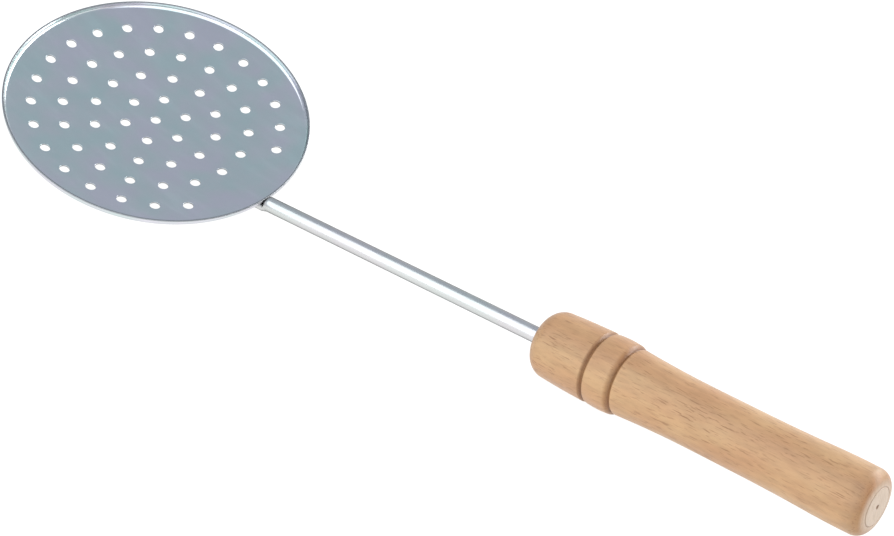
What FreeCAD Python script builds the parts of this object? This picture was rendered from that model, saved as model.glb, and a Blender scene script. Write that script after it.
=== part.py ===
import FreeCAD, Part
import math
import os
import re

import Sketcher

# A long-handled strainer: a shallow round pan punched with 58 holes, a round steel rod whose
# flattened end is spot-welded under the pan, and a turned wooden handle pressed onto the rod.
#
# Row frame, millimetres: +X runs from the pan to the butt of the handle, +Z is up, and the
# strainer lies as it comes to rest on a table, on the heel of the rod's flat tongue and on the
# front of the handle. The origin is under the middle of its bounding box, on the table.
#
# Each sub-part is drawn in a frame of its own and put in place afterwards:
#   pan     centre of the pan's floor, +Z out of the bowl, +X towards the handle
#   rod     centre of the first full round section, +X along the rod
#   handle  centre of the front face, +X along the handle

document = FreeCAD.newDocument("Strainer")

# ---------------------------------------------------------------- driving dimensions

DIMENSIONS = [
    # the pan
    ("pan_radius", 60.0, "outside of the rim wall"),
    ("sheet_thickness", 0.7, "stainless sheet"),
    ("floor_radius", 7.5, "flat middle of the floor"),
    ("dish_radius", 257.5, "radius of the dished floor's section, from the flat middle out"),
    ("bend_radius", 1.5, "inside bend between floor and rim wall"),
    ("rim_height", 7.35, "top of the rim above the middle of the floor"),
    ("hole_radius", 2.0, "punched holes"),
    ("ring_pitch", 12.17, "step between rings of holes, and spacing of the holes in ring one"),
    # the rod and its flattened tongue
    ("rod_radius", 2.96, "round bar"),
    ("rod_slope", 17.7, "degrees above the pan's plane"),
    ("round_start_x", 61.3, "where the bar is fully round, from the pan's centre"),
    ("heel_x", 59.9, "where the flat tongue ends, from the pan's centre"),
    ("tongue_width", 8.0, "flattened end"),
    ("tongue_thickness", 3.2, "flattened end"),
    ("tongue_length", 17.0, "from heel to tip"),
    ("weld_centre_x", 50.8, "middle between the two spot welds"),
    ("weld_spacing", 6.6, "between the two spot welds"),
    ("weld_radius", 2.2, "weld nugget"),
    ("weld_gap", 0.2, "between tongue and pan, bridged by the nuggets"),
    ("bend_to_mouth", 3.0, "from the bar's slight bend to the handle's front face"),
    ("bend_overlap", 0.1, "the tang starts this far inside the bar, so that the two join"),
    ("tang_length", 58.0, "bar inside the handle"),
    # the handle
    ("mouth_x", 188.25, "centre of the handle's front face, from the pan's centre"),
    ("mouth_height", 45.09, "centre of the handle's front face above the pan's floor"),
    ("handle_slope", 16.85, "degrees above the pan's plane"),
    ("handle_length", 136.1, "front face to butt face"),
    ("bore_depth", 60.0, "blind bore for the tang"),
    ("front_face_radius", 6.1, "flat part of the front face"),
    ("front_round", 6.4, "rounding of the front end"),
    ("barrel_rise", 0.75, "growth of the front barrel's radius up to the first groove"),
    ("barrel_arc", 380.0, "slightly rounded section of the front barrel"),
    ("groove_place", 25.35, "bottom of the narrow groove, from the front face"),
    ("groove_width", 1.9, "narrow groove"),
    ("groove_bottom_radius", 12.15, "bottom of the narrow groove"),
    ("bead_end", 35.0, "where the bead rounds over, from the front face"),
    ("bead_radius", 13.15, "radius at both ends of the bead"),
    ("bead_crown", 0.25, "rise of the bead's middle over its ends"),
    ("bead_round", 2.6, "rounding of the bead into the wide groove"),
    ("step_bottom", 36.95, "bottom of the wide groove, from the front face"),
    ("step_bottom_radius", 11.8, "bottom of the wide groove"),
    ("body_start", 37.75, "start of the grip, from the front face"),
    ("body_start_radius", 12.35, "radius where the grip starts"),
    ("waist_start", 68.1, "start of the straight waist"),
    ("waist_end", 88.6, "end of the straight waist"),
    ("waist_radius", 11.28, "radius of the waist"),
    ("swell_place", 126.3, "widest place of the grip"),
    ("swell_radius", 11.97, "radius at the widest place"),
    ("flare_radius", 700.0, "hollow section between waist and swell"),
    ("butt_round", 4.6, "rounding of the butt"),
    ("butt_round_place", 131.5, "centre of the butt's rounding, from the front face"),
    ("butt_edge_radius", 9.4, "edge between the butt's rounding and its end grain"),
    ("ring_drop", 0.1, "the end grain outside the turned line lies this far back at the line"),
    ("ring_radius", 7.15, "turned line on the end grain"),
    ("ring_width", 0.6, "turned line on the end grain"),
    ("ring_depth", 0.35, "turned line on the end grain"),
    ("centre_hole_radius", 0.9, "mark of the lathe's centre"),
    ("centre_hole_depth", 1.6, "mark of the lathe's centre"),
]

sheet = document.addObject("Spreadsheet::Sheet", "Dimensions")
for row, (alias, number, meaning) in enumerate(DIMENSIONS, start=1):
    sheet.set(f"A{row}", alias)
    sheet.set(f"B{row}", str(number))
    sheet.set(f"C{row}", meaning)
    sheet.setAlias(f"B{row}", alias)
document.recompute()

ALIASES = re.compile(r"\b(" + "|".join(alias for alias, _, _ in DIMENSIONS) + r")\b")


def in_sheet(expression):
    """The expression with each alias written the way other objects refer to it."""
    return ALIASES.sub(r"Dimensions.\1", expression)


def value(expression):
    """The number that an expression in the sheet's words comes to."""
    return float(sheet.evalExpression(in_sheet(expression)))


# ---------------------------------------------------------------- sketch helpers

START, END, CENTRE = 1, 2, 3
ORIGIN = (-1, 1)
HALF_ROUND = "half round"


def origin_plane(body, role):
    """One of the body's own origin planes."""
    return next(item for item in body.Origin.OriginFeatures if item.Role == role)


class Outline:
    """A sketch on one of a body's origin planes, with its sizes bound to the sheet."""

    def __init__(self, body, name, plane):
        self.sketch = body.newObject("Sketcher::SketchObject", name)
        self.sketch.AttachmentSupport = (origin_plane(body, plane), "")
        self.sketch.MapMode = "FlatFace"
        self.edges = []

    def bind(self, constraint, label, expression):
        """Add a constraint with a size and tie that size to the sheet."""
        index = self.sketch.addConstraint(Sketcher.Constraint(*constraint, value(expression)))
        name = f"{label}_{index}"
        self.sketch.renameConstraint(index, name)
        self.sketch.setExpression(f"Constraints.{name}", in_sheet(expression))

    def pin(self, edge, end, across=None, up=None):
        """Hold one end of an edge at a place given in the sheet's words."""
        if across is not None:
            self.bind(("DistanceX", *ORIGIN, edge, end), "across", across)
        if up is not None:
            self.bind(("DistanceY", *ORIGIN, edge, end), "up", up)

    def add(self, geometry):
        index = self.sketch.addGeometry(geometry, False)
        self.edges.append(index)
        return index

    def line(self, start, end):
        return self.add(Part.LineSegment(vector(start), vector(end)))

    def arc(self, start, end, radius, side):
        """The short arc that bulges to the left (+1) or right (-1) of the way to its end.

        A sketch keeps its arcs anticlockwise, so one that bulges to the left is drawn from its
        end back to its start. Returns the edge, then the points at the arc's start and end.
        """
        middle = vector(bulge_point(start, end, radius, side))
        if side > 0:
            return self.add(Part.Arc(vector(end), middle, vector(start))), END, START
        return self.add(Part.Arc(vector(start), middle, vector(end))), START, END

    def join(self, edge, end, other, other_end):
        self.sketch.addConstraint(Sketcher.Constraint("Coincident", edge, end, other, other_end))

    def circle(self, across, radius):
        """A circle whose centre lies on the sketch's horizontal axis."""
        centre = FreeCAD.Vector(value(across), 0, 0)
        edge = self.add(Part.Circle(centre, FreeCAD.Vector(0, 0, 1), value(radius)))
        self.pin(edge, CENTRE, across, "0")
        self.bind(("Radius", edge), "radius", radius)
        return edge


def vector(point):
    return FreeCAD.Vector(point[0], point[1], 0)


def closed_profile(outline, steps):
    """Draw a closed outline of straight lines and arcs.

    Each step is the expressions of a corner, then how the outline leaves it: None for a
    straight line, or (radius, side) for an arc that bulges to the left (+1) or right (-1).
    HALF_ROUND in place of a radius is a half circle between two corners one above the other.
    """
    corners = [(value(across), value(up)) for across, up, _ in steps]
    ends = []
    for index, (_, _, leave) in enumerate(steps):
        start = corners[index]
        end = corners[(index + 1) % len(corners)]
        if leave is None:
            ends.append((outline.line(start, end), START, END))
        elif leave[0] == HALF_ROUND:
            ends.append(outline.arc(start, end, math.dist(start, end) / 2, leave[1]))
        else:
            ends.append(outline.arc(start, end, value(leave[0]), leave[1]))
    for index, (edge, first, _) in enumerate(ends):
        previous_edge, _, previous_last = ends[index - 1]
        outline.join(previous_edge, previous_last, edge, first)
        outline.pin(edge, first, steps[index][0], steps[index][1])
        leave = steps[index][2]
        if leave is not None and leave[0] == HALF_ROUND:
            outline.pin(edge, CENTRE, steps[index][0])
        elif leave is not None:
            outline.bind(("Radius", edge), "radius", leave[0])


def bulge_point(start, end, radius, side):
    """The middle of the short arc from start to end, bulging to the left or right of travel."""
    chord_x = end[0] - start[0]
    chord_y = end[1] - start[1]
    chord = math.hypot(chord_x, chord_y)
    rise = radius - math.sqrt(max(radius**2 - chord**2 / 4, 0.0))
    middle_x = (start[0] + end[0]) / 2 - side * rise * chord_y / chord
    middle_y = (start[1] + end[1]) / 2 + side * rise * chord_x / chord
    return middle_x, middle_y


def new_body(label):
    body = document.addObject("PartDesign::Body", label)
    body.Label = label
    return body


def feature(body, kind, name, profile, **settings):
    """A PartDesign feature on a sketch; its length is given in the sheet's words."""
    made = body.newObject(f"PartDesign::{kind}", name)
    made.Profile = profile.sketch
    for setting, content in settings.items():
        if setting == "Length":
            made.setExpression(setting, in_sheet(content))
        else:
            setattr(made, setting, content)
    profile.sketch.Visibility = False
    document.recompute()
    return made


# ---------------------------------------------------------------- strainer pan

BEND_CENTRE = "(pan_radius - sheet_thickness - bend_radius)"
BEND_HEIGHT = f"(dish_radius - sqrt((dish_radius - bend_radius)^2 - ({BEND_CENTRE} - floor_radius)^2))"
# the dished floor meets the bend on the line through both centres
MEET_ACROSS = f"(({BEND_CENTRE} - floor_radius) / (dish_radius - bend_radius))"
MEET_DOWN = f"((dish_radius - {BEND_HEIGHT}) / (dish_radius - bend_radius))"


def skin_corner(depth):
    """Where floor and bend meet on the skin that lies this far under the inside."""
    across = f"floor_radius + (dish_radius + {depth}) * {MEET_ACROSS}"
    up = f"dish_radius - (dish_radius + {depth}) * {MEET_DOWN}"
    return across, up


def make_strainer_pan():
    """Dished sheet with a low upright rim, then rings of punched holes."""
    body = new_body("strainer_pan")
    section = Outline(body, "pan_section", "XZ_Plane")
    wall_inside = "pan_radius - sheet_thickness"
    closed_profile(section, [
        ("0", "-sheet_thickness", None),
        ("floor_radius", "-sheet_thickness", ("dish_radius + sheet_thickness", -1)),
        (*skin_corner("sheet_thickness"), ("bend_radius + sheet_thickness", -1)),
        ("pan_radius", BEND_HEIGHT, None),
        ("pan_radius", "rim_height", None),
        (wall_inside, "rim_height", None),
        (wall_inside, BEND_HEIGHT, ("bend_radius", 1)),
        (*skin_corner("0"), ("dish_radius", 1)),
        ("floor_radius", "0", None),
        ("0", "0", None),
    ])
    feature(body, "Revolution", "pan_sheet", section,
            ReferenceAxis=(section.sketch, ["V_Axis"]), Angle=360.0)

    centre = Outline(body, "centre_hole_circle", "XY_Plane")
    centre.circle("0", "hole_radius")
    punch(body, "centre_hole", centre)
    for ring in (1, 2, 3):
        punch_ring(body, ring, first_angle=0.0, count=6 * ring, sweep=360.0)
    # the outer ring leaves out the three holes over the tongue
    step = 360.0 / 24
    punch_ring(body, 4, first_angle=2 * step, count=21, sweep=20 * step)
    return body


def punch(body, name, circles):
    return feature(body, "Pocket", name, circles, Type="ThroughAll", Midplane=True)


def punch_ring(body, ring, first_angle, count, sweep):
    """One ring of holes, punched once and repeated about the pan's axis."""
    outline = Outline(body, f"ring_{ring}_circle", "XY_Plane")
    outline.sketch.AttachmentOffset = FreeCAD.Placement(
        FreeCAD.Vector(), FreeCAD.Rotation(FreeCAD.Vector(0, 0, 1), first_angle))
    outline.circle(f"{ring} * ring_pitch", "hole_radius")
    hole = punch(body, f"ring_{ring}_hole", outline)
    pattern = body.newObject("PartDesign::PolarPattern", f"ring_{ring}_holes")
    pattern.Originals = [hole]
    pattern.Axis = (origin_plane(body, "Z_Axis"), [""])
    pattern.Angle = sweep
    pattern.Occurrences = count
    body.Tip = pattern
    document.recompute()


# ---------------------------------------------------------------- steel rod

# slope of the pan's underside halfway between the welds, where the tongue lies against it
TONGUE_SLOPE = "(asin((weld_centre_x - floor_radius) / (dish_radius + sheet_thickness)))"
UNDERSIDE = f"(dish_radius - (dish_radius + sheet_thickness) * cos({TONGUE_SLOPE}))"


def tongue_top_height(x):
    """Height of the tongue's upper face above the pan's floor, at a place along the pan."""
    return (value(UNDERSIDE) - value("weld_gap")
            + (x - value("weld_centre_x")) * math.tan(math.radians(value(TONGUE_SLOPE))))


def rod_axis_height(x):
    """Height of the rod's axis above the pan's floor, at a place along the pan."""
    handle_slope = math.radians(value("handle_slope"))
    bend_x = value("mouth_x") - value("bend_to_mouth") * math.cos(handle_slope)
    bend_height = value("mouth_height") - value("bend_to_mouth") * math.sin(handle_slope)
    return bend_height - (bend_x - x) * math.tan(math.radians(value("rod_slope")))


def bar_length():
    """Straight run of round bar, from its first full section to the bend before the handle."""
    handle_slope = math.radians(value("handle_slope"))
    bend_x = value("mouth_x") - value("bend_to_mouth") * math.cos(handle_slope)
    return (bend_x - value("round_start_x")) / math.cos(math.radians(value("rod_slope")))


def tilted(x, height, slope):
    """A place in the pan's frame, with +X turned up by a slope in degrees."""
    return FreeCAD.Placement(FreeCAD.Vector(x, 0, height),
                             FreeCAD.Rotation(FreeCAD.Vector(0, 1, 0), -slope))


def rod_place():
    start = value("round_start_x")
    return tilted(start, rod_axis_height(start), value("rod_slope"))


def stadium(outline, width, thickness):
    """A flattened bar's section: two flats joined by half rounds, about the sketch's origin."""
    flat = f"({width} - {thickness}) / 2"
    half = f"{thickness} / 2"
    closed_profile(outline, [
        (f"-{flat}", half, None),
        (flat, half, (HALF_ROUND, 1)),
        (flat, f"-{half}", None),
        (f"-{flat}", f"-{half}", (HALF_ROUND, 1)),
    ])


def quartered_circle(outline, radius):
    """A circle in four arcs, so that it blends into a section with four edges."""
    across = f"{radius} * sqrt(0.5)"
    closed_profile(outline, [
        (f"-{across}", across, (radius, 1)),
        (across, across, (radius, 1)),
        (across, f"-{across}", (radius, 1)),
        (f"-{across}", f"-{across}", (radius, 1)),
    ])


def make_shaft_rod():
    """Round bar, pressed flat at one end and very slightly bent in front of the handle."""
    body = new_body("shaft_rod")
    place = rod_place()
    slope_change = value(TONGUE_SLOPE) - value("rod_slope")

    # centre of the tongue's section at the heel, seen from the rod's own frame
    heel = value("heel_x")
    half_thickness = value("tongue_thickness") / 2
    slope = math.radians(value(TONGUE_SLOPE))
    centre = FreeCAD.Vector(heel + half_thickness * math.sin(slope), 0,
                            tongue_top_height(heel) - half_thickness * math.cos(slope))
    centre = place.inverse().multVec(centre)
    heel_section = Outline(body, "heel_section", "YZ_Plane")
    heel_section.sketch.AttachmentOffset = FreeCAD.Placement(
        FreeCAD.Vector(centre.y, centre.z, centre.x),
        FreeCAD.Rotation(FreeCAD.Vector(1, 0, 0), -slope_change))
    stadium(heel_section, "tongue_width", "tongue_thickness")
    feature(body, "Pad", "tongue", heel_section, Length="tongue_length", Reversed=True)

    tip = Outline(body, "tip_outline", "XY_Plane")
    half_width = "tongue_width / 2"
    tip_centre = f"({centre.x} - tongue_length + {half_width})"
    beyond = f"{tip_centre} - tongue_width"
    closed_profile(tip, [
        (tip_centre, half_width, None),
        (tip_centre, "tongue_width", None),
        (beyond, "tongue_width", None),
        (beyond, "-tongue_width", None),
        (tip_centre, "-tongue_width", None),
        (tip_centre, f"-{half_width}", (HALF_ROUND, 1)),
    ])
    feature(body, "Pocket", "rounded_tip", tip, Type="ThroughAll", Midplane=True)

    round_section = Outline(body, "round_section", "YZ_Plane")
    quartered_circle(round_section, "rod_radius")
    shoulder = body.newObject("PartDesign::AdditiveLoft", "shoulder")
    shoulder.Profile = heel_section.sketch
    shoulder.Sections = [round_section.sketch]
    shoulder.Ruled = False
    document.recompute()

    bar = feature(body, "Pad", "bar", round_section, Length=str(bar_length()))
    tang_section = Outline(body, "tang_section", "YZ_Plane")
    turn = value("handle_slope") - value("rod_slope")
    tang_section.sketch.AttachmentOffset = FreeCAD.Placement(
        FreeCAD.Vector(0, 0, bar.Length.Value - value("bend_overlap")),
        FreeCAD.Rotation(FreeCAD.Vector(1, 0, 0), -turn))
    tang_section.circle("0", "rod_radius")
    feature(body, "Pad", "tang", tang_section,
            Length="bend_overlap + bend_to_mouth + tang_length")
    for sketch in (heel_section, round_section, tip):
        sketch.sketch.Visibility = False
    document.recompute()
    return body


# ---------------------------------------------------------------- turned handle

# The bead is a shallow arc; the grip's taper ends level with the waist. The hollow flare and
# the rounded swell touch on the line through their centres, and so do swell and butt rounding.
BEAD_CHORD = "(bead_end - groove_place - groove_width / 2)"
BEAD_ARC = f"(({BEAD_CHORD}^2 / 4 + bead_crown^2) / (2 * bead_crown))"
TAPER_DROP = "(body_start_radius - waist_radius)"
TAPER_ARC = f"(((waist_start - body_start)^2 + {TAPER_DROP}^2) / (2 * {TAPER_DROP}))"
SWELL_RISE = "(swell_radius - waist_radius)"
BOTH_ARCS = f"(((swell_place - waist_end)^2 + {SWELL_RISE}^2) / (2 * {SWELL_RISE}))"
SWELL_ARC = f"({BOTH_ARCS} - flare_radius)"
FLARE_END = (
    f"waist_end + (swell_place - waist_end) * flare_radius / {BOTH_ARCS}",
    f"waist_radius + flare_radius * {SWELL_RISE} / {BOTH_ARCS}",
)
ROUND_OFFSET = "(butt_round_place - swell_place)"
CENTRES_APART = f"({SWELL_ARC} - butt_round)"
CENTRES_RISE = f"sqrt({CENTRES_APART}^2 - {ROUND_OFFSET}^2)"
SWELL_END = (
    f"swell_place + {ROUND_OFFSET} * {SWELL_ARC} / {CENTRES_APART}",
    f"swell_radius - {SWELL_ARC} + {CENTRES_RISE} * {SWELL_ARC} / {CENTRES_APART}",
)
ROUND_CENTRE = f"(swell_radius - {SWELL_ARC} + {CENTRES_RISE})"
BUTT_EDGE = f"butt_round_place + sqrt(butt_round^2 - (butt_edge_radius - {ROUND_CENTRE})^2)"


def make_handle():
    """Turned beech grip: rounded front, groove, bead, wide groove, waisted body, round butt."""
    body = new_body("handle")
    section = Outline(body, "turned_section", "XZ_Plane")
    closed_profile(section, [
        ("0", "0", None),
        ("0", "front_face_radius", ("front_round", 1)),
        ("front_round", "front_face_radius + front_round", ("barrel_arc", 1)),
        ("groove_place - groove_width / 2", "front_face_radius + front_round + barrel_rise", None),
        ("groove_place", "groove_bottom_radius", None),
        ("groove_place + groove_width / 2", "bead_radius", (BEAD_ARC, 1)),
        ("bead_end", "bead_radius", ("bead_round", 1)),
        ("step_bottom", "step_bottom_radius", None),
        ("body_start", "body_start_radius", (TAPER_ARC, -1)),
        ("waist_start", "waist_radius", None),
        ("waist_end", "waist_radius", ("flare_radius", -1)),
        (*FLARE_END, (SWELL_ARC, 1)),
        (*SWELL_END, ("butt_round", 1)),
        (BUTT_EDGE, "butt_edge_radius", None),
        ("handle_length - ring_drop", "ring_radius + ring_width / 2", None),
        ("handle_length - ring_depth", "ring_radius", None),
        ("handle_length", "ring_radius - ring_width / 2", None),
        ("handle_length", "centre_hole_radius", None),
        ("handle_length - centre_hole_depth", "0", None),
    ])
    feature(body, "Revolution", "turned_wood", section,
            ReferenceAxis=(section.sketch, ["H_Axis"]), Angle=360.0)
    mouth = Outline(body, "bore_circle", "YZ_Plane")
    mouth.circle("0", "rod_radius")
    feature(body, "Pocket", "bore", mouth, Length="bore_depth", Reversed=True)
    return body


# ---------------------------------------------------------------- spot welds

def make_spot_welds(pan, rod):
    """Two weld nuggets that bridge the gap between the tongue and the pan."""
    upright = FreeCAD.Rotation(FreeCAD.Vector(0, 1, 0), -value(TONGUE_SLOPE))
    sunk = upright.multVec(FreeCAD.Vector(0, 0, value("sheet_thickness") / 2))
    blanks = []
    for side in (-1, 1):
        x = value("weld_centre_x") + side * value("weld_spacing") / 2
        blank = document.addObject("Part::Cylinder", "nugget_blank")
        blank.setExpression("Radius", in_sheet("weld_radius"))
        blank.setExpression("Height", in_sheet("weld_gap + sheet_thickness"))
        foot = FreeCAD.Vector(x, 0, tongue_top_height(x)) - sunk
        blank.Placement = pan.Placement.multiply(FreeCAD.Placement(foot, upright))
        blanks.append(blank)
    both = document.addObject("Part::MultiFuse", "nugget_blanks")
    both.Shapes = blanks
    above_tongue = document.addObject("Part::Cut", "nuggets_above_tongue")
    above_tongue.Base = both
    above_tongue.Tool = rod
    welds = document.addObject("Part::Cut", "spot_welds")
    welds.Label = "spot_welds"
    welds.Base = above_tongue
    welds.Tool = pan
    document.recompute()
    return welds


# ---------------------------------------------------------------- assembly

def resting_tilt():
    """Degrees from the pan's plane to the table, on which the tongue's heel and the handle lie.

    The table touches the lower edge of the tongue at its heel and the rounding at the front of
    the handle, so it is the common tangent of a point and an arc.
    """
    slope = math.radians(value(TONGUE_SLOPE))
    thickness = value("tongue_thickness")
    heel_x = value("heel_x") + thickness * math.sin(slope)
    heel_height = tongue_top_height(value("heel_x")) - thickness * math.cos(slope)
    handle = math.radians(value("handle_slope"))
    along = value("front_round")
    below = value("front_face_radius")
    centre_x = value("mouth_x") + along * math.cos(handle) + below * math.sin(handle)
    centre_height = value("mouth_height") + along * math.sin(handle) - below * math.cos(handle)
    distance = math.hypot(centre_x - heel_x, centre_height - heel_height)
    to_centre = math.atan2(centre_height - heel_height, centre_x - heel_x)
    return math.degrees(to_centre - math.asin(value("front_round") / distance))


def lay_on_table(places):
    """Turn and shift the sub-parts so that they rest on z = 0 under the box's middle."""
    turned = FreeCAD.Placement(FreeCAD.Vector(),
                               FreeCAD.Rotation(FreeCAD.Vector(0, 1, 0), resting_tilt()))
    box = FreeCAD.BoundBox()
    for body, place in places:
        body.Placement = turned.multiply(place)
        box.add(body.Shape.optimalBoundingBox())
    middle = FreeCAD.Vector(box.Center.x, box.Center.y, box.ZMin)
    for body, place in places:
        body.Placement = FreeCAD.Placement(-middle, FreeCAD.Rotation()).multiply(
            turned.multiply(place))
    document.recompute()


def check_and_write(sub_parts):
    """Write one STEP file for each sub-part, once every object is sound."""
    for item in document.Objects:
        if "Invalid" in item.State or "Error" in item.State:
            raise RuntimeError(f"{item.Name} failed: {item.getStatusString()}")
    for item in sub_parts:
        if item.Shape.isNull() or not item.Shape.isValid():
            raise RuntimeError(f"{item.Label} has no valid shape")
    os.makedirs("parts", exist_ok=True)
    for item in sub_parts:
        item.Shape.exportStep(f"parts/{item.Label}.step")
        box = item.Shape.optimalBoundingBox()
        print(f"{item.Label}: {len(item.Shape.Solids)} solid, {item.Shape.Volume:.0f} mm3,"
              f" x {box.XMin:.2f} to {box.XMax:.2f}, y {box.YMin:.2f} to {box.YMax:.2f},"
              f" z {box.ZMin:.3f} to {box.ZMax:.2f}")


strainer_pan = make_strainer_pan()
shaft_rod = make_shaft_rod()
handle = make_handle()
lay_on_table([
    (strainer_pan, FreeCAD.Placement()),
    (shaft_rod, rod_place()),
    (handle, tilted(value("mouth_x"), value("mouth_height"), value("handle_slope"))),
])
spot_welds = make_spot_welds(strainer_pan, shaft_rod)
print(f"tilt of the pan on the table: {resting_tilt():.3f} degrees")
print(f"pan's frame in the row frame: {strainer_pan.Placement.Base}")
check_and_write([strainer_pan, shaft_rod, spot_welds, handle])
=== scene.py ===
import math

import bmesh
import bpy
from mathutils import Matrix, Vector


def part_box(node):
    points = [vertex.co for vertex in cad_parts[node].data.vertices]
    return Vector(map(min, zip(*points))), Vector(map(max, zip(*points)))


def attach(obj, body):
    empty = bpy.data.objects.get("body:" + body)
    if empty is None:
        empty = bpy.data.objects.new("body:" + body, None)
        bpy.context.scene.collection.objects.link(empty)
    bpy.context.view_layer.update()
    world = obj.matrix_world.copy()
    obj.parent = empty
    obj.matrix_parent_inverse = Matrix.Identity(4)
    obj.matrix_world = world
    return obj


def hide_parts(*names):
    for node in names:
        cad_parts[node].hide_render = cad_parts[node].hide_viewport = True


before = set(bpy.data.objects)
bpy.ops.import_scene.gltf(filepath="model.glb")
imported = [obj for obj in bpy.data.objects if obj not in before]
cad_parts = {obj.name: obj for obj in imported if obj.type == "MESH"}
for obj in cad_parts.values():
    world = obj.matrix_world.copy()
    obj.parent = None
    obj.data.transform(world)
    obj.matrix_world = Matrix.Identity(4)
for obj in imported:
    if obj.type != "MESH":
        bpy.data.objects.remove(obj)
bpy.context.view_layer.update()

# A long-handled strainer: shallow punched pan, round rod with a flattened tongue under the pan,
# two spot welds and a turned beech handle. The handle is drawn in a frame of its own and the other
# pieces in the pan's, in millimetres and radians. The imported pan's box says where its frame lies.

MM = 0.001

# the pan: its frame has the centre of the floor, +Z out of the bowl and +X towards the handle
TILT = math.radians(13.813)  # of the pan's plane, as the strainer rests on heel and handle
PAN_RADIUS = 60.0
SHEET = 0.7
FLOOR_RADIUS = 7.5  # of the flat middle
DISH_RADIUS = 257.5  # of the arc from the flat middle to the bend
BEND_RADIUS = 1.5
RIM_HEIGHT = 7.35
HOLE_RADIUS = 2.0
RING_PITCH = 12.17
RINGS = (1, 2, 3, 4)  # rings of holes round the middle one
LEFT_OUT = (-1, 0, 1)  # holes of the outer ring that the tongue takes the place of

# the rod, in the pan's frame
ROD_RADIUS = 2.96
ROD_SLOPE = math.radians(17.7)
ROUND_START = 61.3  # where the bar is fully round
HEEL = 59.9  # where the flat tongue ends and the shoulder starts
TONGUE_WIDTH = 8.0
TONGUE_THICKNESS = 3.2
TONGUE_LENGTH = 17.0
WELD_MIDDLE = 50.8
WELD_SPACING = 6.6
WELD_RADIUS = 2.2
WELD_GAP = 0.2
BEND_TO_MOUTH = 3.0
TANG_LENGTH = 58.0

# the handle: its frame has the centre of the front face and +X along the handle, and places are
# distances from that face
MOUTH = Vector((188.25, 0.0, 45.09))  # where that centre lies in the pan's frame
HANDLE_SLOPE = math.radians(16.85)
HANDLE_LENGTH = 136.1
BORE_DEPTH = 60.0
FRONT_FACE_RADIUS = 6.1
FRONT_ROUND = 6.4
BARREL_RISE = 0.75
BARREL_ARC = 380.0
GROOVE = 25.35
GROOVE_HALF_WIDTH = 0.95
GROOVE_BOTTOM_RADIUS = 12.15
BEAD_RADIUS = 13.15
BEAD_CROWN = 0.25
BEAD_END = 35.0
BEAD_ROUND = 2.6
STEP_BOTTOM = 36.95
STEP_BOTTOM_RADIUS = 11.8
BODY_START = 37.75
BODY_START_RADIUS = 12.35
WAIST_START = 68.1
WAIST_END = 88.6
WAIST_RADIUS = 11.28
FLARE_RADIUS = 700.0
SWELL = 126.3
SWELL_RADIUS = 11.97
BUTT_ROUND = 4.6
BUTT_ROUND_PLACE = 131.5
BUTT_EDGE_RADIUS = 9.4
RING_RADIUS = 7.15
RING_HALF_WIDTH = 0.3
RING_DEPTH = 0.35
RING_DROP = 0.1
CENTRE_HOLE_RADIUS = 0.9
CENTRE_HOLE_DEPTH = 1.6


# ---------------------------------------------------------------- places

far_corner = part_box("strainer_pan")[1]
pan_centre = Vector((
    far_corner.x - (PAN_RADIUS * math.cos(TILT) + RIM_HEIGHT * math.sin(TILT)) * MM,
    0.0,
    far_corner.z - (PAN_RADIUS * math.sin(TILT) + RIM_HEIGHT * math.cos(TILT)) * MM,
))
PAN_PLACE = Matrix.Translation(pan_centre) @ Matrix.Rotation(TILT, 4, "Y")


def sloped(place, slope):
    """A frame in the pan's frame with +X turned up by a slope."""
    return Matrix.Translation(place) @ Matrix.Rotation(-slope, 4, "Y")


ROD_PLACE = PAN_PLACE @ sloped(Vector((0, 0, 0)), ROD_SLOPE)
HANDLE_PLACE = PAN_PLACE @ sloped(MOUTH * MM, HANDLE_SLOPE)


# ---------------------------------------------------------------- meshes

ROLLED, CUT = 0, 1  # the two finishes of a sheet: its skins and its cut edges
MERGE_DISTANCE = 1e-3


class Faces:
    """Faces given by the places of their corners; shared corners are merged at the end."""

    def __init__(self):
        self.mesh = bmesh.new()

    def rows(self, first, second, closed=True, finish=ROLLED):
        """Quads between two rows of places."""
        one = [self.mesh.verts.new(place) for place in first]
        two = [self.mesh.verts.new(place) for place in second]
        count = len(one) if closed else len(one) - 1
        for index in range(count):
            after = (index + 1) % len(one)
            face = self.mesh.faces.new((one[index], one[after], two[after], two[index]))
            face.material_index = finish

    def sheet(self, rows, closed=True, finish=ROLLED):
        """Quads over a list of rows."""
        for first, second in zip(rows, rows[1:]):
            self.rows(first, second, closed, finish)

    def cap(self, row):
        """One flat face over a closed row."""
        self.mesh.faces.new([self.mesh.verts.new(place) for place in row])

    def piece(self, name, place, *materials):
        """The finished object with smooth shading, moved from its own frame to the row frame."""
        bmesh.ops.remove_doubles(self.mesh, verts=self.mesh.verts, dist=MERGE_DISTANCE)
        bmesh.ops.recalc_face_normals(self.mesh, faces=self.mesh.faces)
        self.mesh.transform(place @ Matrix.Scale(MM, 4))
        data = bpy.data.meshes.new(name)
        self.mesh.to_mesh(data)
        self.mesh.free()
        data.polygons.foreach_set("use_smooth", [True] * len(data.polygons))
        for material in materials:
            data.materials.append(material)
        made = bpy.data.objects.new(name, data)
        bpy.context.scene.collection.objects.link(made)
        return made


def turns(count, start=0.0, sweep=2 * math.pi):
    """Equal steps of angle, without the last."""
    return [start + sweep * step / count for step in range(count)]


def smooth_step(part):
    """From 0 to 1, level at both ends."""
    part = min(max(part, 0.0), 1.0)
    return part * part * (3 - 2 * part)


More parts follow.
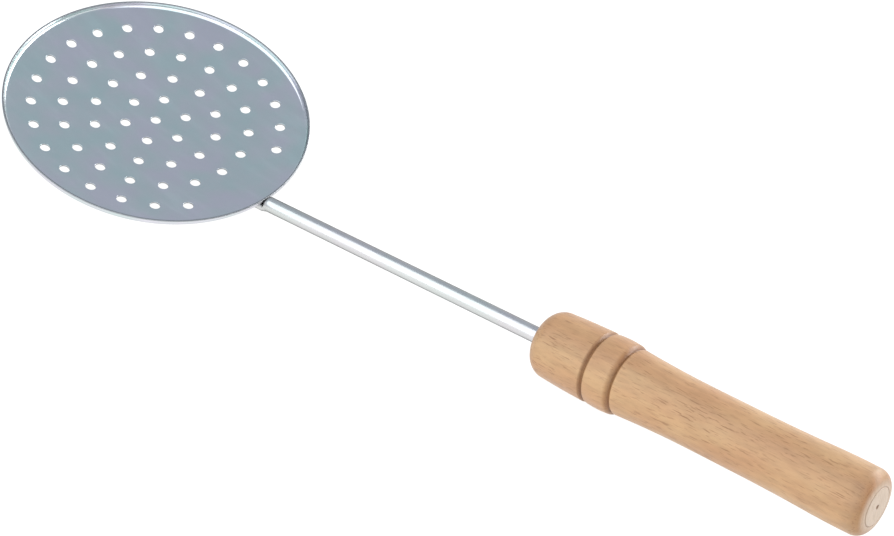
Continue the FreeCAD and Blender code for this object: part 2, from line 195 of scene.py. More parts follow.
class Profile:
    """A line in the plane, drawn with straight runs and arcs, its corners slightly eased."""

    def __init__(self, across, up):
        self.corners = [(across, up, 0.0)]

    def run(self, across, up, ease=0.0):
        """A straight run to a corner, which is eased by this much."""
        self.corners.append((across, up, ease))

    def arc(self, across, up, radius, side, steps=12, ease=0.0):
        """A short arc to a corner, bulging to the left (+1) or right (-1) of the way there."""
        start = Vector(self.corners[-1][:2])
        end = Vector((across, up))
        chord = end - start
        middle = (start + end) / 2
        outward = Vector((-chord.y, chord.x)).normalized() * side
        centre = middle - outward * math.sqrt(max(radius ** 2 - chord.length_squared / 4, 0.0))
        sweep = 2 * math.asin(min(chord.length / 2 / radius, 1.0))
        for step in range(1, steps):
            arm = Matrix.Rotation(-side * sweep * step / steps, 2) @ (start - centre)
            self.corners.append((centre.x + arm.x, centre.y + arm.y, 0.0))
        self.corners.append((across, up, ease))

    def points(self, ease_steps=4):
        """The line's points, with a small curve in place of each eased corner."""
        line = []
        for index, (across, up, ease) in enumerate(self.corners):
            corner = Vector((across, up))
            if ease == 0.0:
                line.append(corner)
                continue
            before = Vector(self.corners[index - 1][:2]) - corner
            after = Vector(self.corners[index + 1][:2]) - corner
            one = corner + before.normalized() * min(ease, before.length / 2)
            two = corner + after.normalized() * min(ease, after.length / 2)
            for step in range(ease_steps + 1):
                part = step / ease_steps
                line.append(one * (1 - part) ** 2
                            + corner * 2 * part * (1 - part)
                            + two * part ** 2)
        return line


# ---------------------------------------------------------------- node helpers

def new_material(name):
    """A Principled material, with a function that adds nodes and one that links into the shader."""
    material = bpy.data.materials.new(name)
    material.use_nodes = True
    tree = material.node_tree
    shader = tree.nodes["Principled BSDF"]

    def link(source, socket):
        tree.links.new(source, shader.inputs[socket])

    return material, shader, node_adder(tree), link


def node_adder(tree):
    """A function that adds a node and fills its inputs with numbers or other nodes' outputs."""

    def add(kind, inputs=None, **settings):
        node = tree.nodes.new(kind)
        for setting, content in settings.items():
            setattr(node, setting, content)
        for socket, content in (inputs or {}).items():
            if isinstance(content, bpy.types.NodeSocket):
                tree.links.new(content, node.inputs[socket])
            else:
                node.inputs[socket].default_value = content
        return node

    return add


def ramp(add, factor, stops):
    """A colour for each place on a scale; the stops are (place, colour or grey)."""
    node = add("ShaderNodeValToRGB", {"Fac": factor})
    elements = node.color_ramp.elements
    while len(elements) < len(stops):
        elements.new(0.5)
    for element, (place, shade) in zip(elements, stops):
        element.position = place
        element.color = (*shade, 1) if isinstance(shade, tuple) else (shade, shade, shade, 1)
    return node.outputs["Color"]


def maths(add, operation, *numbers):
    """One step of arithmetic on numbers or other nodes' outputs."""
    return add("ShaderNodeMath", dict(enumerate(numbers)), operation=operation).outputs[0]


def mix(add, factor, one, two, blend="MIX"):
    """A blend of two colours."""
    node = add("ShaderNodeMix", {0: factor, 6: one, 7: two}, data_type="RGBA", blend_type=blend)
    return node.outputs[2]


def in_millimetres(add, frame_place):
    """The place on a piece, in the millimetres of its own frame."""
    place = add("ShaderNodeTexCoord").outputs["Object"]
    own = {"Vector": place, "Location": frame_place.to_translation(),
           "Rotation": frame_place.to_euler(), "Scale": (MM, MM, MM)}
    return add("ShaderNodeMapping", own, vector_type="TEXTURE").outputs[0]


def noise(add, place, size, detail=2.0, roughness=0.5, shift=0.0):
    """Noise whose features have this size along each axis, in millimetres.

    The shift moves it, so that no two noises of a material agree.
    """
    scale = tuple(1 / length for length in size)
    moved = add("ShaderNodeMapping", {"Vector": place, "Scale": scale, "Location": (shift, 0, 0)})
    return add("ShaderNodeTexNoise", {"Vector": moved.outputs[0], "Scale": 1.0, "Detail": detail,
                                      "Roughness": roughness}).outputs["Fac"]


def bump(add, height, strength, depth, normal=None):
    """A bump of this depth in millimetres, over another one if it is given."""
    inputs = {"Height": height, "Strength": strength, "Distance": depth * MM}
    if normal is not None:
        inputs["Normal"] = normal
    return add("ShaderNodeBump", inputs).outputs[0]


# ---------------------------------------------------------------- materials

NOISE_LOW, NOISE_MIDDLE, NOISE_HIGH = 0.36, 0.5, 0.64  # most of a noise lies between the outer two
LINES_IN_POLISH = 0.4  # how much of the uneven polish follows the lines; the rest is smears
WELD_DENT_RADIUS = WELD_RADIUS + 1.2


def steel(name, frame_place, tints, edge_tint, roughness, line_size, wave_size, wave_depth):
    """Bright stainless steel: faint colour clouds, rolled or drawn lines, uneven polish.

    The three tints are those of the clouds, and the roughness is (least, most). The sizes and the
    depth are in millimetres.
    """
    material, shader, add, link = new_material(name)
    shader.inputs["Metallic"].default_value = 1.0
    shader.inputs["Specular Tint"].default_value = (*edge_tint, 1)
    place = in_millimetres(add, frame_place)

    clouds = noise(add, place, (18, 18, 18), detail=3.0)
    tone = ramp(add, clouds, list(zip((NOISE_LOW, NOISE_MIDDLE, NOISE_HIGH), tints)))
    wiped = noise(add, place, (30, 7, 7), detail=4.0, shift=13.0)
    wiped = ramp(add, wiped, [(0.40, 0.98), (0.55, 1.0), (0.72, 1.05)])
    link(mix(add, 1.0, tone, wiped, "MULTIPLY"), "Base Color")

    lines = noise(add, place, line_size, detail=4.0, roughness=0.6)
    smears = noise(add, place, (7, 7, 7), detail=5.0, roughness=0.65, shift=3.0)
    uneven = maths(add, "ADD", maths(add, "MULTIPLY", lines, LINES_IN_POLISH),
                   maths(add, "MULTIPLY", smears, 1 - LINES_IN_POLISH))
    polish = add("ShaderNodeMapRange", {"Value": uneven, "From Min": NOISE_LOW, "From Max": NOISE_HIGH,
                                        "To Min": roughness[0], "To Max": roughness[1]})
    link(polish.outputs[0], "Roughness")

    relief = bump(add, lines, strength=0.25, depth=0.004)
    waves = noise(add, place, wave_size, detail=1.0, shift=7.0)
    relief = bump(add, waves, strength=1.0, depth=wave_depth, normal=relief)
    relief = bump(add, weld_marks(add, place), strength=1.0, depth=0.05, normal=relief)
    link(relief, "Normal")
    return material


def weld_marks(add, place):
    """Height of the two shallow dents that the welding tips left in the pan and the tongue."""
    parts = add("ShaderNodeSeparateXYZ", {"Vector": place}).outputs
    offset = maths(add, "ABSOLUTE", maths(add, "SUBTRACT", parts["X"], WELD_MIDDLE))
    offset = maths(add, "SUBTRACT", offset, WELD_SPACING / 2)
    squares = maths(add, "ADD", maths(add, "MULTIPLY", offset, offset),
                    maths(add, "MULTIPLY", parts["Y"], parts["Y"]))
    distance = maths(add, "SQRT", squares)
    return ramp(add, maths(add, "DIVIDE", distance, WELD_DENT_RADIUS),
                [(0.0, 0.3), (0.5, 0.2), (0.8, 0.9), (1.0, 0.8)])


def cut_steel():
    """The sheared edge of the sheet and the walls of its punched holes."""
    material, shader, add, link = new_material("sheared_edge")
    shader.inputs["Metallic"].default_value = 1.0
    shader.inputs["Specular Tint"].default_value = (0.35, 0.36, 0.38, 1)
    place = in_millimetres(add, PAN_PLACE)
    drag = noise(add, place, (0.25, 0.25, 1.2), detail=3.0)
    link(ramp(add, drag, [(0.35, (0.28, 0.29, 0.30)), (0.65, (0.44, 0.45, 0.46))]), "Base Color")
    link(ramp(add, drag, [(0.3, 0.28), (0.7, 0.42)]), "Roughness")
    link(bump(add, drag, strength=0.5, depth=0.02), "Normal")
    return material


RED_BEECH = (0.455, 0.248, 0.124)
PLAIN_BEECH = (0.475, 0.270, 0.134)
YELLOW_BEECH = (0.490, 0.295, 0.148)
FLECK_BROWN = (0.26, 0.125, 0.055, 1)
PORE_BROWN = (0.30, 0.16, 0.08, 1)
END_GRAIN_DARK = (0.40, 0.30, 0.215)
END_GRAIN_PALE = (0.50, 0.385, 0.290)
END_GRAIN_START = 0.9958  # as a part of the handle's length
END_GRAIN_FULL = 0.9968
FLECK_SHARE = 0.85  # how far the flecks and the pores hide the wood's own tone
PORE_SHARE = 0.16
DEEP_BURN_AND_SHADE = (0.50, 0.40, 0.30)  # what burn lines with painted shade over them leave of the wood's colour, much or little darkened
LIGHT_BURN_AND_SHADE = (0.72, 0.64, 0.54)


def beech():
    """Turned beech under a thin satin varnish, with its grain along the handle."""
    material, shader, add, link = new_material("turned_beech")
    shader.inputs["Specular IOR Level"].default_value = 0.35
    shader.inputs["Coat Weight"].default_value = 0.2
    shader.inputs["Coat Roughness"].default_value = 0.35
    place = in_millimetres(add, HANDLE_PLACE)
    along = add("ShaderNodeSeparateXYZ", {"Vector": place}).outputs["X"]
    reach = maths(add, "DIVIDE", along, HANDLE_LENGTH)

    # broad tones: redder and yellower patches, and soft growth layers
    patches = noise(add, place, (26, 9, 9), detail=3.0)
    tone = ramp(add, patches, [(NOISE_LOW, RED_BEECH), (NOISE_MIDDLE, PLAIN_BEECH),
                               (NOISE_HIGH, YELLOW_BEECH)])
    mottle = noise(add, place, (7, 1.6, 1.6), detail=3.0, shift=15.0)
    mottle = ramp(add, mottle, [(NOISE_LOW, 0.93), (NOISE_MIDDLE, 1.0), (NOISE_HIGH, 1.05)])
    tone = mix(add, 1.0, tone, mottle, "MULTIPLY")
    layers = noise(add, place, (60, 2.6, 14), detail=2.0, shift=5.0)
    layers = ramp(add, layers, [(0.38, 0.95), (0.55, 1.0), (0.7, 1.02)])
    tone = mix(add, 1.0, tone, layers, "MULTIPLY")

    # short dark flecks, gathered in bands, and finer pores between them
    crowd = noise(add, place, (30, 5, 5), detail=2.0, shift=11.0)
    crowd = ramp(add, crowd, [(0.4, 0.45), (0.62, 1.0)])
    flecks = noise(add, place, (4.2, 0.5, 0.5), detail=2.0, shift=2.0)
    flecks = ramp(add, flecks, [(0.56, 0.0), (0.68, 1.0)])
    shown = maths(add, "MULTIPLY", maths(add, "MULTIPLY", flecks, crowd), FLECK_SHARE)
    tone = mix(add, shown, tone, FLECK_BROWN)
    pores = noise(add, place, (1.6, 0.16, 0.16), detail=2.0, shift=9.0)
    pores = ramp(add, pores, [(0.6, 0.0), (0.72, 1.0)])
    tone = mix(add, maths(add, "MULTIPLY", pores, PORE_SHARE), tone, PORE_BROWN)

    # a little darker at the front; the tool's burn lines in the groove and in the step behind the bead,
    # and darker end grain on the rounding of the butt, all deepened with painted shade; small painted
    # highlights on the edges just behind the groove and the step
    burn_and_shade = ramp(add, reach, [(spot / HANDLE_LENGTH, shade) for spot, shade in (
        (0.0, 0.96), (7.0, 1.0),
        (GROOVE - 1.1, 1.0), (GROOVE - 0.7, DEEP_BURN_AND_SHADE),
        (GROOVE + 0.6, DEEP_BURN_AND_SHADE), (GROOVE + 1.0, 1.03),
        (BEAD_END - 0.2, 1.0), (STEP_BOTTOM - 1.2, LIGHT_BURN_AND_SHADE), (STEP_BOTTOM - 0.4, DEEP_BURN_AND_SHADE),
        (BODY_START - 0.35, DEEP_BURN_AND_SHADE), (BODY_START, 1.05), (BODY_START + 2.0, 1.0),
        (BUTT_ROUND_PLACE - 3.0, 1.0), (BUTT_ROUND_PLACE + 1.0, 0.85),
        (BUTT_ROUND_PLACE + 3.9, LIGHT_BURN_AND_SHADE),
    )])
    tone = mix(add, 1.0, tone, burn_and_shade, "MULTIPLY")

    # pale end grain, with the dark mark of the lathe's centre and the turned line round it
    speckle = noise(add, place, (2.0, 0.3, 0.3), detail=3.0, shift=4.0)
    rays = noise(add, place, (4.0, 0.5, 5.0), detail=2.0, shift=6.0)
    grain = maths(add, "MULTIPLY", maths(add, "ADD", speckle, rays), 0.5)
    pale = ramp(add, grain, [(0.38, END_GRAIN_DARK), (0.55, END_GRAIN_PALE)])
    across = add("ShaderNodeVectorMath", {0: place, 1: (0, 1, 1)}, operation="MULTIPLY").outputs[0]
    radius = add("ShaderNodeVectorMath", {0: across}, operation="LENGTH").outputs["Value"]
    ring_place = RING_RADIUS / BUTT_EDGE_RADIUS
    turned = ramp(add, maths(add, "DIVIDE", radius, BUTT_EDGE_RADIUS), [
        (0.0, 0.30), (0.07, 0.40), (0.12, 1.0),
        (ring_place - 0.03, 1.0), (ring_place, 0.60), (ring_place + 0.03, 1.0),
    ])
    pale = mix(add, 1.0, pale, turned, "MULTIPLY")
    at_end = ramp(add, reach, [(END_GRAIN_START, 0.0), (END_GRAIN_FULL, 1.0)])
    link(mix(add, at_end, tone, pale), "Base Color")

    # uneven varnish, the lines of the sandpaper, and flecks and pores a little sunk
    sheen = noise(add, place, (9, 3, 3), detail=3.0, shift=8.0)
    link(ramp(add, sheen, [(0.35, 0.36), (0.65, 0.48)]), "Roughness")
    sanding = noise(add, place, (0.14, 6, 6), detail=2.0, shift=1.0)
    relief = bump(add, sanding, strength=0.4, depth=0.006)
    sunk = maths(add, "ADD", flecks, pores)
    relief = bump(add, sunk, strength=-0.5, depth=0.03, normal=relief)
    link(relief, "Normal")
    return material


# ---------------------------------------------------------------- strainer pan

TURN_STEPS = 216  # steps round the pan; each ring of holes takes a whole number for each hole
PUNCH_ROLL = 0.08  # rounding where the punch went in
PUNCH_BURR = 0.06  # rounding where it came out
ROUNDING_STEPS = 4
LIFT = 0.06  # the punch also lifts the sheet a little round each hole
LIFT_INSIDE = 0.7  # distances from the hole's edge: full lift, and no lift
LIFT_OUTSIDE = 1.6
TOP_REACHES = (0.3, LIFT_INSIDE, 0.85, 1.0, 1.15, 1.3, 1.45, LIFT_OUTSIDE)
UNDER_REACHES = (LIFT_INSIDE, 1.15, LIFT_OUTSIDE)
OUTER_PARTS = (0.3, 0.65, 1.0)  # of the way from the lifted sheet to the outline
FLOOR_EDGE_STEPS = 3
BEND_STEPS = 10
LIP_HEIGHT = 0.3  # how far the cut finish reaches down from the top of the rim
LIP_EASE = 0.2


def dish_height(radius, depth):
    """Height of the dished floor at a distance from its middle, this far under the inside."""
    if radius < FLOOR_RADIUS:
        return -depth
    return DISH_RADIUS - math.sqrt((DISH_RADIUS + depth) ** 2 - (radius - FLOOR_RADIUS) ** 2)


def skin_place(across, along, depth, from_edge):
    """A place on a skin of the floor, lifted near a hole and rounded at the hole's edge."""
    height = dish_height(math.hypot(across, along), depth)
    height += LIFT * (1 - smooth_step((from_edge - LIFT_INSIDE) / (LIFT_OUTSIDE - LIFT_INSIDE)))
    roll = PUNCH_ROLL if depth == 0 else PUNCH_BURR
    if from_edge < roll:
        drop = roll - math.sqrt(roll ** 2 - (roll - from_edge) ** 2)
        height -= drop if depth == 0 else -drop
    return Vector((across, along, height))


def ring_holes(ring):
    """How many holes a ring has room for."""
    return 6 * ring


def radial_steps(ring):
    """Steps across a ring: more in the outer rings, whose holes have fewer steps round the pan."""
    return 6 + 2 * ring


def share_outline(ring, number):
    """The outline of one hole's share of the floor, anticlockwise."""
    if ring == 0:
        reach = RING_PITCH / 2
        return [Vector((math.cos(turn), math.sin(turn))) * reach for turn in turns(TURN_STEPS)]
    share = 2 * math.pi / ring_holes(ring)
    low = (number - 0.5) * share
    inner = (ring - 0.5) * RING_PITCH
    outer = (ring + 0.5) * RING_PITCH
    across = turns(TURN_STEPS // ring_holes(ring), low, share)
    steps = radial_steps(ring)
    outward = [inner + RING_PITCH * step / steps for step in range(steps)]
    outline = [(reach, low) for reach in outward]
    outline += [(outer, turn) for turn in across]
    outline += [(inner + outer - reach, low + share) for reach in outward]
    outline += [(inner, 2 * low + share - turn) for turn in across]
    return [Vector((math.cos(turn), math.sin(turn))) * reach for reach, turn in outline]


def hole_loops(middle, outline, depth, reaches):
    """Loops of places from the edge of a hole out to the outline of its share of the floor."""
    roll = PUNCH_ROLL if depth == 0 else PUNCH_BURR
    rounding = [roll * (1 - math.cos(math.pi / 2 * step / ROUNDING_STEPS))
                for step in range(ROUNDING_STEPS + 1)]
    loops = []
    for reach in (*rounding, *reaches):
        loops.append([])
        for corner in outline:
            spot = middle + (corner - middle).normalized() * (HOLE_RADIUS + reach)
            loops[-1].append(skin_place(spot.x, spot.y, depth, reach))
    for part in OUTER_PARTS:
        loops.append([])
        for corner in outline:
            arm = corner - middle
            start = HOLE_RADIUS + reaches[-1]
            spot = middle + arm.normalized() * (start + (arm.length - start) * part)
            loops[-1].append(skin_place(spot.x, spot.y, depth, LIFT_OUTSIDE))
    return loops


def make_pan(*materials):
    """The floor, put together from the shares of its holes, and the rim."""
    faces = Faces()
    places = [(0, 0)] + [(ring, number) for ring in RINGS for number in range(ring_holes(ring))]
    for ring, number in places:
        if ring == RINGS[-1] and (number in LEFT_OUT or number - ring_holes(ring) in LEFT_OUT):
            add_plain_share(faces, ring, number)
            continue
        turn = 2 * math.pi * number / ring_holes(ring) if ring else 0.0
        middle = Vector((math.cos(turn), math.sin(turn))) * ring * RING_PITCH
        outline = share_outline(ring, number)
        top = hole_loops(middle, outline, 0.0, TOP_REACHES)
        under = hole_loops(middle, outline, SHEET, UNDER_REACHES)
        faces.sheet(top)
        faces.sheet(under)
        faces.rows(top[0], under[0], finish=CUT)
    add_rim(faces)
    return faces.piece("pan_sheet", PAN_PLACE, *materials)


def add_plain_share(faces, ring, number):
    """A share of the floor with no hole in it."""
    share = 2 * math.pi / ring_holes(ring)
    steps = radial_steps(ring)
    across = TURN_STEPS // ring_holes(ring)
    both_ends = turns(across + 1, (number - 0.5) * share, share * (across + 1) / across)
    for depth in (0.0, SHEET):
        rows = []
        for step in range(steps + 1):
            reach = (ring - 0.5 + step / steps) * RING_PITCH
            height = dish_height(reach, depth)
            rows.append([Vector((reach * math.cos(turn), reach * math.sin(turn), height))
                         for turn in both_ends])
        faces.sheet(rows, closed=False)


def add_rim(faces):
    """The floor outside the last ring of holes, the bend and the low wall with its cut lip."""
    bend_reach = PAN_RADIUS - SHEET - BEND_RADIUS
    meet = math.asin((bend_reach - FLOOR_RADIUS) / (DISH_RADIUS - BEND_RADIUS))
    bend_height = DISH_RADIUS - (DISH_RADIUS - BEND_RADIUS) * math.cos(meet)
    first = (RINGS[-1] + 0.5) * RING_PITCH

    def skin(depth):
        last = FLOOR_RADIUS + (DISH_RADIUS + depth) * math.sin(meet)
        line = []
        for step in range(FLOOR_EDGE_STEPS):
            reach = first + (last - first) * step / FLOOR_EDGE_STEPS
            line.append((reach, dish_height(reach, depth)))
        for step in range(BEND_STEPS + 1):
            angle = meet + (math.pi / 2 - meet) * step / BEND_STEPS
            line.append((bend_reach + (BEND_RADIUS + depth) * math.sin(angle),
                         bend_height - (BEND_RADIUS + depth) * math.cos(angle)))
        return line

    lip_start = RIM_HEIGHT - LIP_HEIGHT
    lip = Profile(PAN_RADIUS - SHEET, lip_start)
    lip.run(PAN_RADIUS - SHEET, RIM_HEIGHT, ease=LIP_EASE)
    lip.run(PAN_RADIUS, RIM_HEIGHT, ease=LIP_EASE)
    lip.run(PAN_RADIUS, lip_start)

    def round_the_pan(line):
        return [[Vector((reach * math.cos(turn), reach * math.sin(turn), height))
                 for turn in turns(TURN_STEPS)] for reach, height in line]

    faces.sheet(round_the_pan(skin(0.0) + [(PAN_RADIUS - SHEET, lip_start)]))
    faces.sheet(round_the_pan(lip.points()), finish=CUT)
    faces.sheet(round_the_pan(skin(SHEET) + [(PAN_RADIUS, lip_start)]))


# ---------------------------------------------------------------- rod

TONGUE_SLOPE = math.asin((WELD_MIDDLE - FLOOR_RADIUS) / (DISH_RADIUS + SHEET))
HANDLE_WAY = Vector((math.cos(HANDLE_SLOPE), 0, math.sin(HANDLE_SLOPE)))
BEND_PLACE = MOUTH - HANDLE_WAY * BEND_TO_MOUTH
SECTION_STEPS = 48
SECTION_SPREAD = 2.4  # the higher, the flatter the broad faces of the tongue
END_STEPS = 8
SHOULDER_STEPS = 12
TONGUE_PARTS = (0.6, 0.45, 0.3, 0.15, 0.0)  # of its length, back from the heel
NARROW_START, NARROW_END = 0.45, 0.05  # between these parts it narrows to the bar's width
BAR_PARTS = (0.01, 0.05, 0.25, 0.5, 0.75, 0.95, 0.99)  # of the straight bar's length
TANG_CHAMFER = 0.5


def tongue_top(x):
    """Height of the tongue's upper face above the pan's floor."""
    return dish_height(WELD_MIDDLE, SHEET) - WELD_GAP + (x - WELD_MIDDLE) * math.tan(TONGUE_SLOPE)


def rod_axis(x):
    """Height of the round bar's axis."""
    return BEND_PLACE.z - (BEND_PLACE.x - x) * math.tan(ROD_SLOPE)


def bar_section(centre, slope, half_width, half_thickness):
    """A section of the bar, from a flat oblong to a circle, square to its slope."""
    place = sloped(centre, slope)
    flat = half_width - half_thickness
    row = []
    for turn in turns(SECTION_STEPS):
        spread = max(-1.0, min(1.0, SECTION_SPREAD * math.cos(turn)))
        row.append(place @ Vector((0, flat * spread + half_thickness * math.cos(turn),
                                   half_thickness * math.sin(turn))))
    return row


def make_rod(material):
    """Flattened tongue that narrows to the bar's width, shoulder, long round bar and tang."""
    half_width = TONGUE_WIDTH / 2
    half_thickness = TONGUE_THICKNESS / 2
    along = Vector((math.cos(TONGUE_SLOPE), 0, math.sin(TONGUE_SLOPE)))
    down = Vector((math.sin(TONGUE_SLOPE), 0, -math.cos(TONGUE_SLOPE)))
    heel = Vector((HEEL, 0, tongue_top(HEEL))) + down * half_thickness
    rows = []

    # the rounded end of the tongue, from where it is as wide as it is thick
    for step in range(2, END_STEPS + 1):
        turn = math.pi / 2 * step / END_STEPS
        place = heel - along * (TONGUE_LENGTH - half_width * (1 - math.cos(turn)))
        width = max(half_width * math.sin(turn), half_thickness)
        rows.append(bar_section(place, TONGUE_SLOPE, width, half_thickness))

    for part in TONGUE_PARTS:
        wide = smooth_step((part - NARROW_END) / (NARROW_START - NARROW_END))
        width = ROD_RADIUS + (half_width - ROD_RADIUS) * wide
        place = heel - along * TONGUE_LENGTH * part
        rows.append(bar_section(place, TONGUE_SLOPE, width, half_thickness))

    first_round = Vector((ROUND_START, 0, rod_axis(ROUND_START)))
    for step in range(1, SHOULDER_STEPS + 1):
        part = smooth_step(step / SHOULDER_STEPS)
        rows.append(bar_section(heel.lerp(first_round, step / SHOULDER_STEPS),
                                TONGUE_SLOPE + (ROD_SLOPE - TONGUE_SLOPE) * part,
                                ROD_RADIUS,
                                half_thickness + (ROD_RADIUS - half_thickness) * part))

    bar_run = BEND_PLACE - first_round
    for part in BAR_PARTS:
        rows.append(bar_section(first_round + bar_run * part, ROD_SLOPE, ROD_RADIUS, ROD_RADIUS))
    rows.append(bar_section(BEND_PLACE, (ROD_SLOPE + HANDLE_SLOPE) / 2, ROD_RADIUS, ROD_RADIUS))

    tang_end = BEND_TO_MOUTH + TANG_LENGTH
    for reach, radius in ((1.0, ROD_RADIUS), (BEND_TO_MOUTH, ROD_RADIUS), (tang_end / 2, ROD_RADIUS),
                          (tang_end - TANG_CHAMFER, ROD_RADIUS), (tang_end, ROD_RADIUS - TANG_CHAMFER)):
        rows.append(bar_section(BEND_PLACE + HANDLE_WAY * reach, HANDLE_SLOPE, radius, radius))
    faces = Faces()
    faces.sheet(rows)
    faces.cap(rows[0])
    faces.cap(rows[-1])
    return faces.piece("rod_bar", PAN_PLACE, material)


WELD_BULGE = 0.12
BULGE_STEPS = 6
WELD_TURN_STEPS = 40


def make_welds(material):
    """Two flat nuggets squeezed between tongue and pan."""
    faces = Faces()
    for side in (-1, 1):
        x = WELD_MIDDLE + side * WELD_SPACING / 2
        foot = sloped(Vector((x, 0, tongue_top(x))), TONGUE_SLOPE)
        rows = []
        for step in range(BULGE_STEPS + 1):
            angle = math.pi * step / BULGE_STEPS
            radius = WELD_RADIUS - WELD_BULGE + WELD_BULGE * math.sin(angle)
            height = WELD_GAP / 2 * (1 - math.cos(angle))
            rows.append([foot @ Vector((radius * math.cos(turn), radius * math.sin(turn), height))
                         for turn in turns(WELD_TURN_STEPS)])
        faces.sheet(rows)
        faces.cap(rows[0])
        faces.cap(rows[-1])
    return faces.piece("weld_nuggets", PAN_PLACE, material)


# ---------------------------------------------------------------- handle

MOUTH_CHAMFER = 0.3
EASE = 0.3  # sanding takes this much off the handle's edges, and half as much at the butt
CENTRE_HOLE_TIP = 0.05  # radius of the bottom of the mark of the lathe's centre
HANDLE_TURN_STEPS = 160


def arc_over(reach, rise):
    """Radius of the arc that is level at one end and rises this much over this reach."""
    return (reach ** 2 + rise ** 2) / (2 * rise)


def handle_profile():
    """The turned outline, from the mouth of the bore to the mark of the lathe's centre."""
    outline = Profile(MOUTH_CHAMFER, ROD_RADIUS)
    outline.run(0.0, ROD_RADIUS + MOUTH_CHAMFER)
    outline.run(0.0, FRONT_FACE_RADIUS)
    barrel_start = FRONT_FACE_RADIUS + FRONT_ROUND
    outline.arc(FRONT_ROUND, barrel_start, FRONT_ROUND, 1, steps=16)
    outline.arc(GROOVE - GROOVE_HALF_WIDTH, barrel_start + BARREL_RISE, BARREL_ARC, 1, ease=EASE)
    outline.run(GROOVE, GROOVE_BOTTOM_RADIUS, ease=EASE)
    bead_start = GROOVE + GROOVE_HALF_WIDTH
    outline.run(bead_start, BEAD_RADIUS, ease=EASE)
    outline.arc(BEAD_END, BEAD_RADIUS, arc_over((BEAD_END - bead_start) / 2, BEAD_CROWN), 1)
    outline.arc(STEP_BOTTOM, STEP_BOTTOM_RADIUS, BEAD_ROUND, 1, ease=EASE)
    outline.run(BODY_START, BODY_START_RADIUS, ease=EASE)
    taper = arc_over(WAIST_START - BODY_START, BODY_START_RADIUS - WAIST_RADIUS)
    outline.arc(WAIST_START, WAIST_RADIUS, taper, -1)
    outline.run(WAIST_END, WAIST_RADIUS)

    # the flare and the swell meet on one tangent, and so do the swell and the rounding of the butt
    both = arc_over(SWELL - WAIST_END, SWELL_RADIUS - WAIST_RADIUS)
    flare_part = FLARE_RADIUS / both
    outline.arc(WAIST_END + (SWELL - WAIST_END) * flare_part,
                WAIST_RADIUS + (SWELL_RADIUS - WAIST_RADIUS) * flare_part, FLARE_RADIUS, -1)
    swell_arc = both - FLARE_RADIUS
    swell_centre = Vector((SWELL, SWELL_RADIUS - swell_arc))
    reach = BUTT_ROUND_PLACE - SWELL
    round_centre = swell_centre + Vector((reach, math.sqrt((swell_arc - BUTT_ROUND) ** 2 - reach ** 2)))
    swell_end = swell_centre + (round_centre - swell_centre).normalized() * swell_arc
    outline.arc(swell_end.x, swell_end.y, swell_arc, 1)
    edge = round_centre.x + math.sqrt(BUTT_ROUND ** 2 - (BUTT_EDGE_RADIUS - round_centre.y) ** 2)
    outline.arc(edge, BUTT_EDGE_RADIUS, BUTT_ROUND, 1, ease=EASE / 2)
    outline.run(HANDLE_LENGTH - RING_DROP, RING_RADIUS + RING_HALF_WIDTH, ease=EASE / 2)
    outline.run(HANDLE_LENGTH - RING_DEPTH, RING_RADIUS, ease=EASE / 2)
    outline.run(HANDLE_LENGTH, RING_RADIUS - RING_HALF_WIDTH, ease=EASE / 2)
    outline.run(HANDLE_LENGTH, CENTRE_HOLE_RADIUS, ease=EASE / 2)
    outline.run(HANDLE_LENGTH - CENTRE_HOLE_DEPTH, CENTRE_HOLE_TIP)
    return outline.points()


def make_handle(material):
    """The outline turned round the handle's axis, with the wall of the bore."""
    faces = Faces()
    line = [Vector((BORE_DEPTH, ROD_RADIUS))] + handle_profile()
    rows = [[Vector((point.x, point.y * math.cos(turn), point.y * math.sin(turn)))
             for turn in turns(HANDLE_TURN_STEPS)] for point in line]
    faces.sheet(rows)
    faces.cap(rows[0])
    faces.cap(rows[-1])
    return faces.piece("handle_wood", HANDLE_PLACE, material)


# ---------------------------------------------------------------- studio, in metres

VIEW_AZIMUTH = math.radians(38.375)
VIEW_ELEVATION = math.radians(38.895)
VIEW_ROLL = math.radians(2.52)
VIEW_DISTANCE = 0.8385
VIEW_TARGET = Vector((0.01205, 0.0, 0.01979))
LENS_LENGTH = 93.996  # lens and sensor in millimetres, as Blender takes them
SENSOR_WIDTH = 36.0
FLOOR_HALF_WIDTH = 6.0
FLOOR_GREY = 0.15
FLOOR_GLOW = 0.95


def make_camera():
    """A long lens, in front of the strainer, above it and to its right."""
    back = Vector((math.sin(VIEW_AZIMUTH) * math.cos(VIEW_ELEVATION),
                   -math.cos(VIEW_AZIMUTH) * math.cos(VIEW_ELEVATION),
                   math.sin(VIEW_ELEVATION)))
    data = bpy.data.cameras.new("camera")
    data.lens = LENS_LENGTH
    data.sensor_width = SENSOR_WIDTH
    camera = bpy.data.objects.new("camera", data)
    bpy.context.scene.collection.objects.link(camera)
    look = (-back).to_track_quat("-Z", "Y").to_matrix().to_4x4()
    roll = Matrix.Rotation(VIEW_ROLL, 4, "Z")
    camera.matrix_world = Matrix.Translation(VIEW_TARGET + back * VIEW_DISTANCE) @ look @ roll
    bpy.context.scene.camera = camera


def softbox(name, place, size, radiance, colour=(1, 1, 1)):
    """A large flat light that faces the long axis of the object."""
    data = bpy.data.lights.new(name, "AREA")
    data.shape = "RECTANGLE"
    data.size, data.size_y = size
    data.energy = radiance * math.pi * size[0] * size[1]
    data.color = colour
    light = bpy.data.objects.new(name, data)
    aim = Vector((0, -place[1], -place[2])).to_track_quat("-Z", "Y").to_matrix().to_4x4()
    light.matrix_world = Matrix.Translation(place) @ aim
    light.visible_camera = False
    bpy.context.scene.collection.objects.link(light)


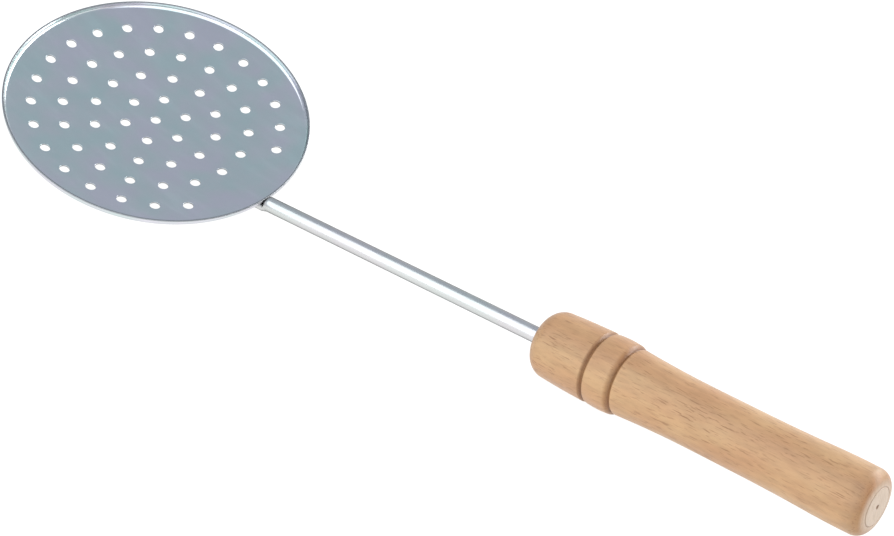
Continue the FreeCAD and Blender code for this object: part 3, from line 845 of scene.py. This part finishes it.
def make_floor():
    """White acrylic, softly lit from below, so that it shows through the holes."""
    grid = bmesh.new()
    bmesh.ops.create_grid(grid, x_segments=2, y_segments=2, size=FLOOR_HALF_WIDTH)
    data = bpy.data.meshes.new("floor")
    grid.to_mesh(data)
    grid.free()
    floor = bpy.data.objects.new("floor", data)
    bpy.context.scene.collection.objects.link(floor)
    material, shader, _, _ = new_material("white_acrylic")
    shader.inputs["Base Color"].default_value = (FLOOR_GREY, FLOOR_GREY, FLOOR_GREY, 1)
    shader.inputs["Roughness"].default_value = 1.0
    shader.inputs["Specular IOR Level"].default_value = 0.0
    shader.inputs["Emission Color"].default_value = (1, 1, 1, 1)
    shader.inputs["Emission Strength"].default_value = FLOOR_GLOW
    data.materials.append(material)


def make_sky():
    """A white horizon all round under a grey-blue ceiling."""
    world = bpy.data.worlds.new("studio")
    world.use_nodes = True
    tree = world.node_tree
    add = node_adder(tree)
    way = add("ShaderNodeTexCoord").outputs["Generated"]
    height = add("ShaderNodeSeparateXYZ", {"Vector": way}).outputs["Z"]
    shade = ramp(add, height, [(0.0, (1.0, 1.0, 1.0)), (0.1, (0.95, 0.96, 0.98)),
                               (0.28, (0.54, 0.58, 0.65)), (0.6, (0.475, 0.525, 0.595))])
    tree.links.new(shade, tree.nodes["Background"].inputs["Color"])
    bpy.context.scene.world = world


def put(piece, node):
    """Hang a piece on the only body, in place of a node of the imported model."""
    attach(piece, "root")
    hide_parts(node)


make_camera()
make_floor()
make_sky()
softbox("front_softbox", place=(0.5, -0.80, 0.90), size=(4.2, 2.1), radiance=1.18,
        colour=(0.95, 1.0, 1.02))
softbox("back_softbox", place=(0.9, 1.25, 0.55), size=(2.0, 0.8), radiance=6.0)
bpy.context.scene.view_settings.view_transform = "Standard"

pan_steel = steel("rolled_stainless", PAN_PLACE,
                  tints=((0.60, 0.71, 0.70), (0.65, 0.70, 0.71), (0.69, 0.68, 0.735)),
                  edge_tint=(0.80, 0.80, 0.80), roughness=(0.12, 0.22),
                  line_size=(6.0, 0.15, 0.15), wave_size=(14, 14, 14), wave_depth=0.02)
# the bar's dark edge tint is painted shade: it darkens the bar's reflections towards both outlines,
# most of all along its lower side
rod_steel = steel("drawn_bar", ROD_PLACE,
                  tints=((0.66, 0.69, 0.67), (0.67, 0.68, 0.67), (0.69, 0.67, 0.68)),
                  edge_tint=(0.12, 0.12, 0.12), roughness=(0.22, 0.36),
                  line_size=(14.0, 0.12, 0.12), wave_size=(18, 1.5, 1.5), wave_depth=0.02)
weld_steel = steel("weld_metal", PAN_PLACE,
                   tints=((0.45, 0.36, 0.28), (0.40, 0.38, 0.36), (0.30, 0.32, 0.38)),
                   edge_tint=(0.3, 0.3, 0.3), roughness=(0.30, 0.50),
                   line_size=(0.6, 0.6, 0.6), wave_size=(2, 2, 2), wave_depth=0.02)
put(make_pan(pan_steel, cut_steel()), "strainer_pan")
put(make_rod(rod_steel), "shaft_rod")
put(make_welds(weld_steel), "spot_welds")
put(make_handle(beech()), "handle")
